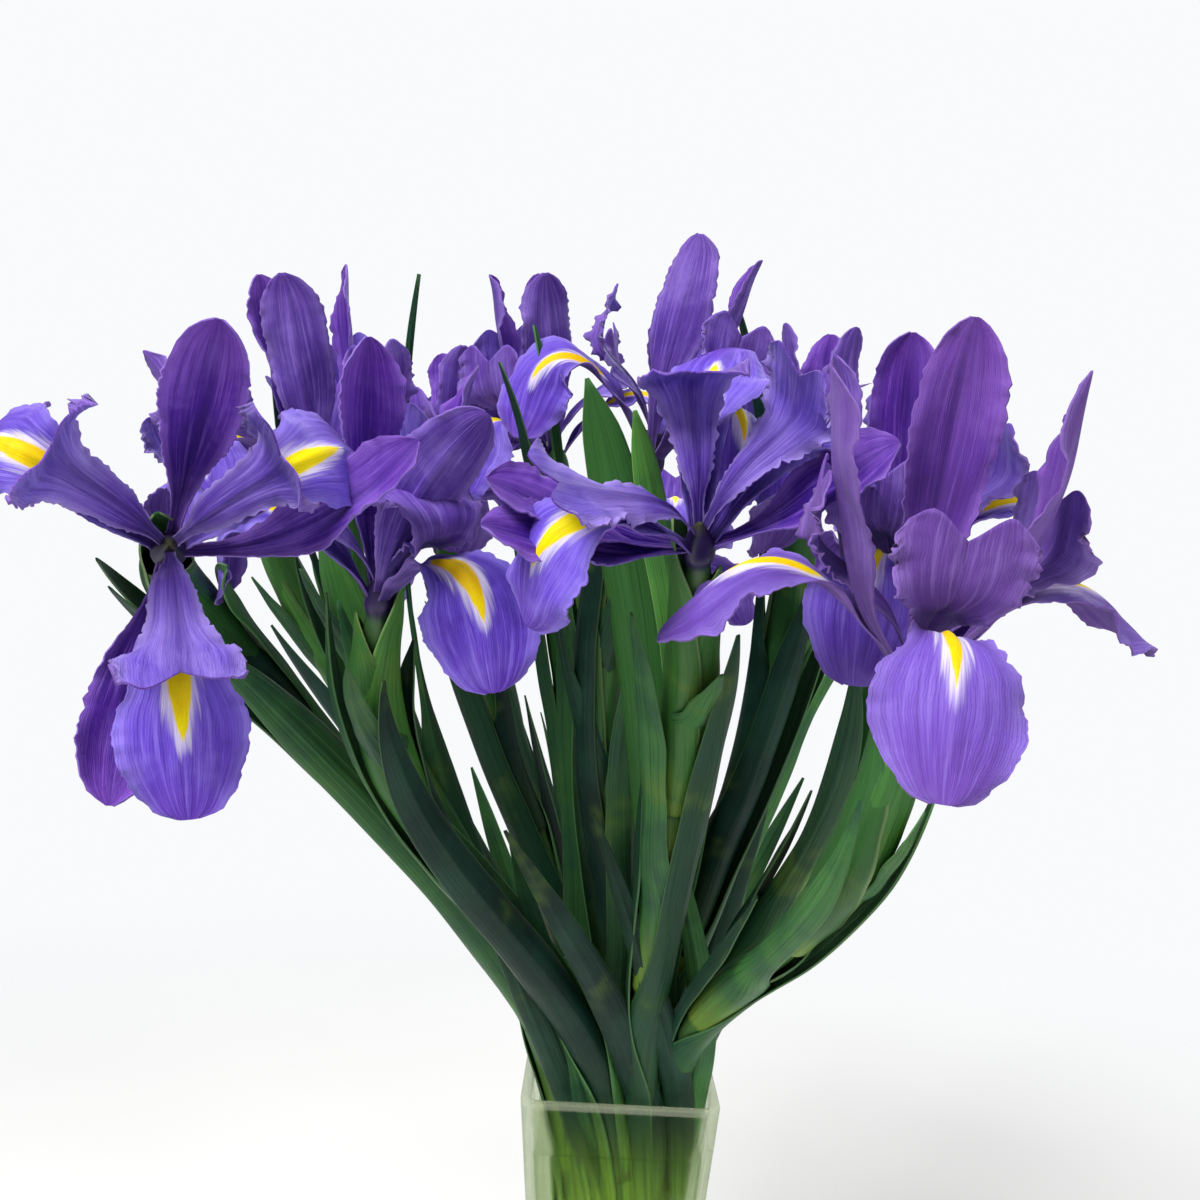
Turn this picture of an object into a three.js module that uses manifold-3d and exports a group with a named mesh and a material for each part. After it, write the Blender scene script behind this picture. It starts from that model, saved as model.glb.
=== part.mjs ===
// A bunch of blue Dutch irises standing in a flared, square glass vase with water.
// Millimetres, +Z up. The origin is the centre of the vase's underside, and the front is -Y.
import * as THREE from "three";
import { mergeVertices } from "three/addons/utils/BufferGeometryUtils.js";
import Module from "manifold-3d";

const wasm = await Module();
wasm.setup();

// ---------------------------------------------------------------- driving dimensions
const VASE = {
  height: 200,
  halfWidth: [[0, 24], [0.3, 24.9], [0.65, 28], [1, 34]], // outer, by share of the height
  wall: 3.5,
  floor: 12,
  corner: 7,
};
const WATER = { level: 180, gap: 0.3 };
const STEM = {
  sides: 5,
  foot: 0.4, // above the floor of the vase
  rings: [0, 0.14, 0.34, 0.6, 0.84, 1], // by share of the way from the rim to the top, besides the foot and waist
  radius: { foot: 3.4, waist: 3.5, above: [[0, 4.4], [0.3, 4.9], [0.7, 3.9], [1, 2.7]] },
};
const BUNCH = {
  waistHeight: 112, // the stems draw together here
  waistTurn: 40, // degrees that the bunch has turned by, going down from the rim
  footTurn: 78,
  outerRing: { rim: 24, waist: 16, foot: 16 },
  innerRing: { rim: 12, waist: 8.4, foot: 8.3 },
};
// The flower's own neck, above the stem, and the little column on it that all the petals grow from.
const NECK = { length: 16, bottom: 2.6, top: 4.2, columnTop: 3.7, columnHeight: 11, sides: 6 };
const GAP = 0.35; // left between two neighbours that would otherwise cross
const MERGE = 0.1; // slivers that a join leaves are merged within this

// A flower's three kinds of petal. Keys are [share of the length, value]: the angle above the
// horizontal in degrees, the half-width in mm, and the cup, which lifts the edges by that share of it.
const FALL = {
  length: 78,
  root: [1.2, -2],
  angle: [[0, 60], [0.2, 46], [0.42, 30], [0.55, 0], [0.68, -42], [0.85, -62], [1, -66]],
  width: [[0, 2], [0.12, 2.8], [0.28, 5.4], [0.46, 6.6], [0.56, 10], [0.68, 14.6], [0.78, 15], [0.9, 10.5], [1, 2.5]],
  cup: [[0, 0.3], [0.42, 0.25], [0.56, -0.1], [0.75, -0.3], [1, -0.2]],
  wave: { count: 3.5, size: 1.6 },
  notch: 0,
  rows: [0, 0.2, 0.45, 0.62, 0.82, 1],
};
const STANDARD = {
  length: 71,
  root: [1, 1],
  angle: [[0, 62], [0.22, 73], [0.5, 84], [0.8, 86], [1, 80]],
  width: [[0, 1.6], [0.16, 1.9], [0.3, 4.2], [0.48, 8], [0.66, 9.6], [0.82, 8.8], [0.94, 5.4], [1, 1.2]],
  cup: [[0, 0.3], [0.5, 0.34], [1, 0.25]],
  wave: { count: 2.5, size: 1.3 },
  notch: 0,
  rows: [0, 0.2, 0.5, 0.8, 1],
};
const STYLE = {
  length: 56,
  root: [0.8, 5],
  angle: [[0, 64], [0.2, 54], [0.5, 28], [0.62, 40], [0.74, 84], [1, 100]],
  width: [[0, 1.3], [0.14, 1.7], [0.3, 4.6], [0.54, 6.9], [0.62, 8.8], [0.72, 12.6], [0.88, 13], [1, 9]],
  cup: [[0, -0.1], [0.5, -0.3], [0.68, -0.14], [0.8, 0], [1, 0.06]],
  wave: { count: 2, size: 1.2 },
  notch: 0.08,
  rows: [0, 0.22, 0.62, 1],
};
const BLADE = { thickness: 0.8, columns: 2 }; // of every petal and leaf
const LEAF = {
  rows: [0, 0.12, 0.4, 0.72, 1],
  tallRows: [0, 0.3, 0.7, 1],
  firstAboveRim: 8,
  each: [[0, 0.95, 50, 7.2], [0.2, 1.02, -60, 6.6], [0.4, 0.98, 175, 6]], // start, end, heading and half-width
};
const SPATHE = { rows: [0, 0.16, 0.6, 1], below: 80, halfWidth: 8.6 };

// Each iris: where its petals meet, which way it faces, the turn of its petals about that axis, its size, the
// stem's ring in the bunch with its angle there, and then for each petal, in degrees: how far it is shifted
// round, how much further it hangs or opens, how far it bends sideways and how far its face is twisted. A
// fall's last two twist its style arm and bring down that arm's crest. A standard's last two are the share of
// the full length that it has, and how much it curls back up. A tall leaf has its root as a share of the way
// from the rim to the top, its tip, its heading in degrees and its half-width.
const IRISES = [
  { name: "left_front", at: [-113, -164, 375], faces: [0.33, -0.92, 0.17], turn: 53, size: 0.88, ring: "outerRing",
    slot: 229, falls: [[0, 0], [0, 8], [3, -50, 0, 0, 0, 40]],
    standards: [[-14, 38, 0, 0, 0.9], [43, 80, 9, 0, 0.92], [26, 60, 48, -25]] },
  { name: "left_high", at: [-100, -62, 396], faces: [-0.12, -0.3, 0.95], turn: -35, size: 0.98, ring: "outerRing",
    slot: 200, falls: [[0, 14], [0, 14], [0, 20]], standards: [[0, 0], [0, 4], [0, 2]] },
  { name: "left_back", at: [-141, 0, 396], faces: [-0.42, -0.1, 0.9], turn: -90, size: 0.92, ring: "outerRing",
    slot: 168, falls: [[0, 6], [0, 6], [0, 6]], standards: [[0, 2], [0, 4], [0, 2]] },
  { name: "mid_left", at: [-74, -116, 366], faces: [0.1, -0.42, 0.9], turn: -46, size: 0.95, ring: "outerRing",
    slot: 258, falls: [[0, 4, 0, 30, 0, -70], [0, 12], [-10, 30]], standards: [[0, 6], [0, 0], [26, 8, 38, -10]] },
  { name: "mid_back", at: [-72, 2, 402], faces: [-0.12, -0.1, 0.98], turn: -120, size: 0.8, ring: "innerRing",
    slot: 140, falls: [[0, 10], [0, 10], [0, 10]], standards: [[0, 14], [0, 4, 20], [0, 10]] },
  { name: "top_left", at: [-34, -40, 412], faces: [-0.14, -0.34, 0.93], turn: 236, size: 0.88, ring: "innerRing",
    slot: 210, falls: [[0, -4], [0, 10], [0, 10]], standards: [[0, 0], [0, 6, 20], [0, 0]] },
  { name: "centre_front", at: [7, -152, 382], faces: [-0.06, -0.72, 0.69], turn: 86, size: 0.9, ring: "outerRing",
    slot: 287, falls: [[8, -46, -25, 0, 0, -45], [0, 14, 0, 0, 0, 60], [66, 10]],
    standards: [[36, 58, 0, 0, 0.82], [-70, 62, 0, 0, 0.84], [-22, 50, 0, 0, 0.8]],
    tallLeaves: [[0.25, [-22, -112, 428], 250, 8]] },
  { name: "top_centre", at: [-3, -92, 409], faces: [0.25, -0.14, 0.95], turn: 60, size: 0.88, ring: "innerRing",
    slot: 280, falls: [[0, 16], [4, 28, 0, -52], [0, 16]], standards: [[0, 0], [0, 0], [0, 0]] },
  { name: "right_back", at: [52, -26, 405], faces: [0.05, -0.1, 0.98], turn: 10, size: 0.84, ring: "innerRing",
    slot: 350, falls: [[0, 16], [0, 16], [0, 16]], standards: [[0, 2], [0, 2], [0, 2]] },
  { name: "right_high", at: [62, -114, 375], faces: [-0.1, -0.42, 0.9], turn: -112, size: 0.94, ring: "outerRing",
    slot: 346, falls: [[0, 2], [0, 10], [0, 10]], standards: [[0, 6], [0, 0], [0, 4]] },
  { name: "right_front", at: [54, -168, 354], faces: [0.06, -0.36, 0.93], turn: -96, size: 0.96, ring: "outerRing",
    slot: 316, falls: [[0, -6], [-4, -26], [30, -10]],
    standards: [[22, 14, 0, -6, 1.12, 24], [0, 0, 0, 0, 1.16], [-10, 18, 0, -14, 1.1, 8]] },
  { name: "back_left", at: [-84, 78, 388], faces: [-0.4, 0.4, 0.84], turn: 15, size: 0.92, ring: "outerRing",
    slot: 124, falls: [[0, 10], [0, 10], [0, 10]], standards: [[0, 3], [0, 3], [0, 3]] },
  { name: "back_right", at: [84, 52, 385], faces: [0.4, 0.25, 0.88], turn: -20, size: 0.92, ring: "outerRing",
    slot: 20, falls: [[0, 12], [0, 12], [0, 12]], standards: [[0, 3], [0, 3], [0, 3]] },
  { name: "back_middle", at: [14, 122, 378], faces: [0.05, 0.5, 0.84], turn: 30, size: 0.95, ring: "outerRing",
    slot: 72, falls: [[0, 10], [0, 10], [0, 10]], standards: [[0, 4], [0, 4], [0, 4]] },
];

const COLOURS = {
  petal: { color: "#6a49b4", roughness: 0.55, metalness: 0 },
  green: { color: "#3c6a44", roughness: 0.5, metalness: 0 },
  glass: { color: "#dfe8dc", roughness: 0.05, metalness: 0, transparent: true, opacity: 0.35 },
  water: { color: "#d8e2cf", roughness: 0.05, metalness: 0, transparent: true, opacity: 0.35 },
};

// ---------------------------------------------------------------- small tools
const UP = new THREE.Vector3(0, 0, 1);
const vector = (x, y, z) => new THREE.Vector3(x, y, z);
const radians = THREE.MathUtils.degToRad;
const step = (from, to, t) => THREE.MathUtils.smoothstep(t, from, to);

// A smooth curve through [place, value] keys.
function smooth(keys) {
  const slope = (i) => {
    const [before, after] = [keys[Math.max(i - 1, 0)], keys[Math.min(i + 1, keys.length - 1)]];
    return (after[1] - before[1]) / (after[0] - before[0]);
  };
  return (t) => {
    const place = Math.min(Math.max(t, keys[0][0]), keys[keys.length - 1][0]);
    const i = Math.max(1, keys.findIndex((key) => key[0] >= place));
    const [[t0, v0], [t1, v1]] = [keys[i - 1], keys[i]];
    const span = t1 - t0;
    const q = (place - t0) / span;
    const blend = q * q * (3 - 2 * q);
    const bendIn = q * (1 - q) * (1 - q) * slope(i - 1) * span;
    const bendOut = q * q * (q - 1) * slope(i) * span;
    return v0 + (v1 - v0) * blend + bendIn + bendOut;
  };
}

// The same draws each time, from one seed.
function drawsFrom(seed) {
  let state = seed;
  return (low, high) => {
    state = (state * 16807) % 2147483647;
    return low + ((high - low) * state) / 2147483647;
  };
}

function solidOf(geometry) {
  const bare = new THREE.BufferGeometry().setAttribute("position", geometry.getAttribute("position"));
  bare.setIndex(geometry.index);
  const merged = mergeVertices(bare, 1e-4);
  return new wasm.Manifold(
    new wasm.Mesh({
      numProp: 3,
      vertProperties: new Float32Array(merged.getAttribute("position").array),
      triVerts: new Uint32Array(merged.index.array),
    }),
  );
}

function geometryOf(solid) {
  const { vertProperties, triVerts } = solid.getMesh();
  const geometry = new THREE.BufferGeometry();
  geometry.setAttribute("position", new THREE.BufferAttribute(vertProperties, 3));
  geometry.setIndex(new THREE.BufferAttribute(triVerts, 1));
  geometry.computeVertexNormals();
  return geometry;
}

const joined = (solids) => solids.reduce((all, one) => all.add(one));

// The largest body of a solid that cutting has left in scraps.
function largestBody(solid) {
  return solid.decompose().reduce((best, one) => (one.volume() > best.volume() ? one : best));
}

// A closed thin blade about a surface(t, v): t runs 0 to 1 along it, by the places given, and v from -1 to 1
// across it. Both faces are split alike. swell grows the blade on every side.
function blade(surface, places, swell = 0) {
  const positions = [];
  const nudge = 1e-3;
  const rows = places.length - 1;
  const columns = BLADE.columns;
  for (const side of [1, -1])
    for (let i = 0; i <= rows; i++)
      for (let j = 0; j <= columns; j++) {
        const [t, v] = [places[i], (2 * j) / columns - 1];
        const point = surface(t, v);
        const along = surface(Math.min(t + nudge, 1), v).sub(surface(Math.max(t - nudge, 0), v)).normalize();
        const across = surface(t, Math.min(v + nudge, 1)).sub(surface(t, Math.max(v - nudge, -1))).normalize();
        const normal = along.clone().cross(across).normalize();
        point.addScaledVector(normal, side * (BLADE.thickness / 2 + swell));
        point.addScaledVector(along, i === 0 ? -swell : i === rows ? swell : 0);
        point.addScaledVector(across, j === 0 ? -swell : j === columns ? swell : 0);
        positions.push(point.x, point.y, point.z);
      }
  const perFace = (rows + 1) * (columns + 1);
  const at = (side, i, j) => side * perFace + i * (columns + 1) + j;
  const faces = [];
  const quad = (a, b, c, d) => faces.push(a, b, c, a, c, d);
  for (let i = 0; i < rows; i++)
    for (let j = 0; j < columns; j++) {
      const [a, b, c, d] = [[i, j], [i + 1, j], [i + 1, j + 1], [i, j + 1]];
      faces.push(at(0, ...a), at(0, ...b), at(0, ...c), at(0, ...a), at(0, ...c), at(0, ...d));
      faces.push(at(1, ...a), at(1, ...c), at(1, ...b), at(1, ...a), at(1, ...d), at(1, ...c));
    }
  for (let i = 0; i < rows; i++) {
    quad(at(0, i, 0), at(1, i, 0), at(1, i + 1, 0), at(0, i + 1, 0));
    quad(at(0, i + 1, columns), at(1, i + 1, columns), at(1, i, columns), at(0, i, columns));
  }
  for (let j = 0; j < columns; j++) {
    quad(at(0, 0, j + 1), at(1, 0, j + 1), at(1, 0, j), at(0, 0, j));
    quad(at(0, rows, j), at(1, rows, j), at(1, rows, j + 1), at(0, rows, j + 1));
  }
  const geometry = new THREE.BufferGeometry();
  geometry.setAttribute("position", new THREE.Float32BufferAttribute(positions, 3));
  geometry.setIndex(faces);
  return solidOf(geometry);
}

// ---------------------------------------------------------------- the stems' paths
function bunchPoint(ring, slot, level, turn, height) {
  const angle = radians(slot + turn);
  const reach = BUNCH[ring][level];
  return vector(reach * Math.cos(angle), reach * Math.sin(angle), height);
}

// A smooth path through a stem's foot, waist, rim and top. at(s) gives the point and the direction s mm
// along it, and goes straight on past both ends.
function stemPath(iris) {
  const faces = vector(...iris.faces).normalize();
  const top = vector(...iris.at).addScaledVector(faces, -NECK.length - GAP);
  const points = [
    bunchPoint(iris.ring, iris.slot, "foot", BUNCH.footTurn, VASE.floor + STEM.foot),
    bunchPoint(iris.ring, iris.slot, "waist", BUNCH.waistTurn, BUNCH.waistHeight),
    bunchPoint(iris.ring, iris.slot, "rim", 0, VASE.height),
    top,
  ];
  const legs = points.slice(1).map((point, i) => point.clone().sub(points[i]));
  const aims = points.map((_, i) => {
    if (i === 0) return UP.clone();
    if (i === points.length - 1) return faces.clone();
    return legs[i - 1].clone().normalize().add(legs[i].clone().normalize()).normalize();
  });
  const curve = new THREE.CurvePath();
  legs.forEach((leg, i) => {
    const pull = leg.length() / 3;
    const start = points[i].clone().addScaledVector(aims[i], pull);
    const end = points[i + 1].clone().addScaledVector(aims[i + 1], -pull);
    curve.add(new THREE.CubicBezierCurve3(points[i], start, end, points[i + 1]));
  });
  const length = curve.getLength();
  const waist = curve.curves[0].getLength();
  const rim = waist + curve.curves[1].getLength();
  const at = (s) => {
    const kept = Math.min(Math.max(s, 0), length);
    const direction = curve.getTangentAt(kept / length);
    return { point: curve.getPointAt(kept / length).addScaledVector(direction, s - kept), direction };
  };
  return { length, waist, rim, at };
}

// ---------------------------------------------------------------- the pieces of a flower
// The surface of a petal, in its flower's own frame: the petals meet at the origin and +Z is the axis.
function petalSurface(shape, azimuth, size, angleShift, phase, sway = 0, twist = 0, reach = 1) {
  const angle = smooth(shape.angle);
  const width = smooth(shape.width);
  const cup = smooth(shape.cup);
  const samples = 60;
  const stride = (shape.length * size * reach) / samples;
  const anglesAt = (t) => [radians(angle(t) + angleShift(t)), radians(sway * t)];
  const line = [vector(shape.root[0], 0, shape.root[1])];
  for (let i = 0; i < samples; i++) {
    const [a, b] = anglesAt((i + 0.5) / samples);
    const heading = vector(Math.cos(b) * Math.cos(a), Math.sin(b), Math.cos(b) * Math.sin(a));
    line.push(line[i].clone().addScaledVector(heading, stride));
  }
  return (t, v) => {
    const place = t * (1 - shape.notch * Math.exp(-((v / 0.4) ** 2)));
    const index = Math.min(Math.floor(place * samples), samples - 1);
    const [a, b] = anglesAt(place);
    const half = width(place) * size;
    const ripple = shape.wave.size * Math.sin(2 * Math.PI * shape.wave.count * place + phase + 1.5 * v);
    const lift = cup(place) * half * v * v + ripple * Math.abs(v) ** 3 * Math.min(1, half / 8);
    const turned = radians(twist) * step(0.15, 0.9, place);
    const aside = half * v * Math.cos(turned) - lift * Math.sin(turned);
    const out = half * v * Math.sin(turned) + lift * Math.cos(turned);
    return line[index]
      .clone()
      .lerp(line[index + 1], place * samples - index)
      .addScaledVector(vector(-Math.sin(b) * Math.cos(a), Math.cos(b), -Math.sin(b) * Math.sin(a)), aside)
      .addScaledVector(vector(-Math.sin(a), 0, Math.cos(a)), out)
      .applyAxisAngle(UP, radians(azimuth));
  };
}

// Three falls, three standards and three style arms on a short tube, as one solid.
function bloom(iris, swell = 0) {
  const parts = [];
  const addPetal = (shape, ...how) => parts.push(blade(petalSurface(shape, ...how), shape.rows, swell));
  for (let k = 0; k < 3; k++) {
    const [fallShift, hang, fallSway, fallTwist, armTwist, crestDrop = 0] = iris.falls[k];
    const [standardShift, open, sway, twist, reach, curl = 0] = iris.standards[k];
    const azimuth = iris.turn + 120 * k + fallShift;
    const between = iris.turn + 120 * k + 60 + standardShift;
    const opened = (t) => -open * (1 - 0.15 * t) + curl * t * t;
    addPetal(FALL, azimuth, iris.size, (t) => -hang * step(0.5, 0.8, t), 2 * k, fallSway, fallTwist);
    addPetal(STANDARD, between, iris.size, opened, 1 + 2 * k, sway, twist, reach);
    addPetal(STYLE, azimuth, iris.size, (t) => -crestDrop * step(0.55, 0.8, t), 3 + k, 0, armTwist);
  }
  const profile = [
    [0, -NECK.length],
    [NECK.bottom, -NECK.length],
    [NECK.top, 0],
    [NECK.columnTop, NECK.columnHeight],
    [0, NECK.columnHeight],
  ].map(([r, z]) => new THREE.Vector2(r + (r ? swell : 0), z + (z > 0 ? swell : z < 0 ? -swell : 0)));
  const neck = new THREE.LatheGeometry(profile, NECK.sides).rotateX(Math.PI / 2);
  parts.push(solidOf(neck.rotateZ(radians(iris.turn + 180 / NECK.sides))));
  const place = new THREE.Matrix4().makeRotationFromQuaternion(
    new THREE.Quaternion().setFromUnitVectors(UP, vector(...iris.faces).normalize()),
  );
  place.setPosition(...iris.at);
  return joined(parts).transform(place.elements);
}

// ---------------------------------------------------------------- stem, leaves and spathe
// A stem of varying thickness along its path. swell thickens it and carries both ends further.
function stemTube(path, swell = 0) {
  const above = smooth(STEM.radius.above);
  const stations = [
    [-swell, STEM.radius.foot],
    [path.waist, STEM.radius.waist],
    ...STEM.rings.map((share) => [path.rim + share * (path.length - path.rim), above(share)]),
  ];
  stations[stations.length - 1][0] += swell;
  const rings = stations.map(([s, radius]) => {
    const { point, direction } = path.at(s);
    const side = vector(1, 0, 0).addScaledVector(direction, -direction.x).normalize();
    const front = direction.clone().cross(side);
    return Array.from({ length: STEM.sides }, (_, i) => {
      const angle = (2 * Math.PI * i) / STEM.sides;
      return point
        .clone()
        .addScaledVector(side, (radius + swell) * Math.cos(angle))
        .addScaledVector(front, (radius + swell) * Math.sin(angle));
    });
  });
  return solidOf(loft(rings));
}

// A blade that clasps the stem and parts from it: its root is sunk in the stem s mm along it, on the side
// that a heading in degrees gives. spread is how far its tip stands off the stem, and droop how far it sinks.
function sheathSurface(path, leaf) {
  const width = smooth(leaf.width);
  const outward = vector(Math.cos(radians(leaf.heading)), Math.sin(radians(leaf.heading)), 0);
  return (t, v) => {
    const { point, direction } = path.at(leaf.start + leaf.length * t);
    const away = outward.clone().addScaledVector(direction, -outward.dot(direction)).normalize();
    const across = direction.clone().cross(away);
    const turned = radians(leaf.twist * t * t);
    const wide = across.clone().multiplyScalar(Math.cos(turned)).addScaledVector(away, Math.sin(turned));
    const back = away.clone().multiplyScalar(-Math.cos(turned)).addScaledVector(across, Math.sin(turned));
    const half = width(t);
    const lift = 1 + leaf.clear * step(0, 0.12, t) + leaf.spread * t ** 1.8;
    return point
      .addScaledVector(away, lift)
      .addScaledVector(wide, half * v)
      .addScaledVector(back, (0.5 - 0.3 * t) * half * v * v)
      .addScaledVector(UP, -leaf.droop * t ** 3);
  };
}

// The midline of a tall leaf: it leaves the stem along the stem's own direction and bends to its tip.
function tallPath(path, start, tip) {
  const { point, direction } = path.at(start);
  const pull = tip.distanceTo(point) / 2;
  const curve = new THREE.QuadraticBezierCurve3(point, point.clone().addScaledVector(direction, pull), tip);
  const length = curve.getLength();
  const at = (s) => ({ point: curve.getPointAt(s / length), direction: curve.getTangentAt(s / length) });
  return { length, at };
}

// The three leaves of one stem: the lowest grows from just above the rim, and each next one higher up and on
// another side. They rise close along the stem to about the flower.
function leavesOf(iris, path, index) {
  const draw = drawsFrom(101 + 37 * index);
  const outwards = THREE.MathUtils.radToDeg(Math.atan2(iris.at[1], iris.at[0]));
  const room = path.length - path.rim;
  return LEAF.each.map(([startShare, endShare, heading, half]) => {
    const start = path.rim + LEAF.firstAboveRim + startShare * room;
    const wide = half * draw(0.92, 1.08);
    return {
      start,
      length: path.rim + endShare * room * draw(0.94, 1.06) - start,
      width: [[0, 1.8], [0.12, wide * 0.8], [0.3, wide], [0.65, wide * 0.86], [0.88, wide * 0.45], [1, 0.8]],
      heading: outwards + heading + draw(-12, 12),
      clear: 6,
      spread: draw(5, 13),
      droop: draw(0, 6),
      twist: draw(-35, 35),
    };
  });
}

function tallLeavesOf(iris, path) {
  return (iris.tallLeaves ?? []).map(([share, tip, heading, half]) => {
    const along = tallPath(path, path.rim + share * (path.length - path.rim), vector(...tip));
    const width = [[0, 1.8], [0.16, half * 0.8], [0.5, half], [0.8, half * 0.72], [1, 0.8]];
    return { along, start: 0, length: along.length, width, heading, clear: 5, spread: 0, droop: 0, twist: 0 };
  });
}

// Two valves wrap the neck of the flower: the outer one passes it, the inner one stops short.
function spathesOf(iris, path) {
  const start = path.length - SPATHE.below;
  const half = SPATHE.halfWidth;
  return [
    { start, length: SPATHE.below + NECK.length + 8, heading: iris.turn + 60, clear: 5.4, spread: 0 },
    { start: start + 7, length: SPATHE.below + NECK.length - 11, heading: iris.turn + 240, clear: 5.4, spread: 0 },
  ].map((valve) => ({
    ...valve,
    width: [[0, 1.6], [0.16, half * 0.75], [0.36, half], [0.64, half * 0.9], [0.88, half * 0.5], [1, 0.7]],
    droop: 0,
    twist: 0,
  }));
}

// ---------------------------------------------------------------- the vase and its water
// A ring of points round a square with round corners.
function squareRing(half, corner, z) {
  const ring = [];
  const arcSteps = 3;
  for (let quarter = 0; quarter < 4; quarter++)
    for (let i = 0; i <= arcSteps; i++) {
      const angle = (Math.PI / 2) * (quarter + i / arcSteps);
      const [cx, cy] = [[1, 1], [-1, 1], [-1, -1], [1, -1]][quarter];
      ring.push(vector(
        cx * (half - corner) + corner * Math.cos(angle),
        cy * (half - corner) + corner * Math.sin(angle),
        z,
      ));
    }
  return ring;
}

// A closed solid through a run of rings, each a list of as many points, closed by a flat cap at each end.
function loft(rings) {
  const count = rings[0].length;
  const positions = rings.flat().flatMap((point) => point.toArray());
  const faces = [];
  for (let i = 0; i + 1 < rings.length; i++)
    for (let j = 0; j < count; j++) {
      const [a, b] = [i * count + j, i * count + ((j + 1) % count)];
      faces.push(a, b, b + count, a, b + count, a + count);
    }
  const last = (rings.length - 1) * count;
  for (let j = 1; j + 1 < count; j++) {
    faces.push(0, j + 1, j);
    faces.push(last, last + j, last + j + 1);
  }
  const geometry = new THREE.BufferGeometry();
  geometry.setAttribute("position", new THREE.Float32BufferAttribute(positions, 3));
  geometry.setIndex(faces);
  return geometry;
}

const vaseHalf = smooth(VASE.halfWidth);
const levels = [0, 0.4, 0.75, 1];

function vaseGeometry() {
  const rings = [squareRing(vaseHalf(0) - 1.5, VASE.corner - 1.5, 0)];
  rings.push(squareRing(vaseHalf(0), VASE.corner, 1.5));
  for (const share of levels.slice(1)) rings.push(squareRing(vaseHalf(share), VASE.corner, share * VASE.height));
  for (const share of levels.slice(1).reverse())
    rings.push(squareRing(vaseHalf(share) - VASE.wall, VASE.corner - VASE.wall, share * VASE.height));
  const floorHalf = vaseHalf(VASE.floor / VASE.height) - VASE.wall;
  rings.push(squareRing(floorHalf, VASE.corner - VASE.wall, VASE.floor));
  return loft(rings);
}

function waterSolid(stems) {
  const heights = [VASE.floor + WATER.gap, ...levels.slice(1, -1).map((share) => share * VASE.height), WATER.level];
  const rings = heights.map((z) => {
    const half = vaseHalf(z / VASE.height) - VASE.wall - 2 * WATER.gap;
    return squareRing(half, VASE.corner - VASE.wall, z);
  });
  return stems.reduce((water, stem) => water.subtract(stem), solidOf(loft(rings)));
}

// ---------------------------------------------------------------- putting it together
const paths = IRISES.map(stemPath);
const taken = []; // what is in place so far, a little swollen, with the iris that owns it
const near = (a, b) => {
  const [p, q] = [a.boundingBox(), b.boundingBox()];
  return [0, 1, 2].every((k) => p.min[k] < q.max[k] && q.min[k] < p.max[k]);
};
const cutClear = (solid, mayTouch) =>
  taken
    .filter((other) => !mayTouch(other) && near(solid, other.solid))
    .reduce((left, other) => left.subtract(other.solid), solid);

const swollenStems = paths.map((path) => stemTube(path, GAP));
swollenStems.forEach((solid, owner) => taken.push({ solid, owner, kind: "stem" }));

// The blooms keep clear of the stems and of each other, the front ones first.
const order = IRISES.map((_, i) => i).sort((a, b) => IRISES[a].at[1] - IRISES[b].at[1]);
const blooms = [];
for (const i of order) {
  const solid = cutClear(bloom(IRISES[i]), (other) => other.owner === i);
  blooms[i] = largestBody(solid);
  taken.push({ solid: bloom(IRISES[i], GAP), owner: i, kind: "bloom" });
}

// Each stem takes its spathe and leaves, trimmed clear of every flower and every other stem and leaf.
const greens = IRISES.map((_, i) => stemTube(paths[i]));
const grow = (makeBlades, rows) => {
  for (const i of order)
    for (const leaf of makeBlades(IRISES[i], paths[i], i)) {
      const surface = sheathSurface(leaf.along ?? paths[i], leaf);
      const solid = cutClear(blade(surface, rows), (other) => other.owner === i && other.kind !== "bloom");
      greens[i] = greens[i].add(solid);
      taken.push({ solid: blade(surface, rows, GAP), owner: i, kind: "leaf" });
    }
};
grow(spathesOf, SPATHE.rows);
grow(tallLeavesOf, LEAF.tallRows);
grow(leavesOf, LEAF.rows);

const group = new THREE.Group();
const tidied = (solid) => largestBody(solid).asOriginal().simplify(MERGE);
const add = (name, geometry, colour) => {
  const mesh = new THREE.Mesh(geometry, new THREE.MeshStandardMaterial(COLOURS[colour]));
  mesh.name = name;
  group.add(mesh);
};
add("vase", vaseGeometry(), "glass");
add("water", geometryOf(waterSolid(swollenStems)), "water");
IRISES.forEach((iris, i) => {
  add(`leafy_stem_${iris.name}`, geometryOf(tidied(greens[i])), "green");
  add(`bloom_${iris.name}`, geometryOf(tidied(blooms[i])), "petal");
});

export default group;
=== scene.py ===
import math
import random

import bmesh
import bpy
from mathutils import Matrix, Vector, noise


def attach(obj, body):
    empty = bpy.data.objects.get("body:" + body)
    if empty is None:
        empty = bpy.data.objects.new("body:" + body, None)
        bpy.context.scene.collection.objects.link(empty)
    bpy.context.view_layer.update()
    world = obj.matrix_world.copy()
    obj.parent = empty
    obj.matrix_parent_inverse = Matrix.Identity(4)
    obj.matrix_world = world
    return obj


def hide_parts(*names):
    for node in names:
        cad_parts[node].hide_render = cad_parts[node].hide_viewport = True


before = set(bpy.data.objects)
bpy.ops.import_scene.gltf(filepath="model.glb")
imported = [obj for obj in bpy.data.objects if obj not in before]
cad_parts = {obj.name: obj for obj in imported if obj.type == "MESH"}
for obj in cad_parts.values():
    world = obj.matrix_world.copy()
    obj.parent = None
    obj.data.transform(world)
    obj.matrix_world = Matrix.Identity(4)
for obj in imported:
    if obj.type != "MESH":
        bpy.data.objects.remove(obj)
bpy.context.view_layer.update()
mm = 0.001
up = Vector((0, 0, 1))
print("frame loaded:", len(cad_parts), "nodes")


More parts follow.
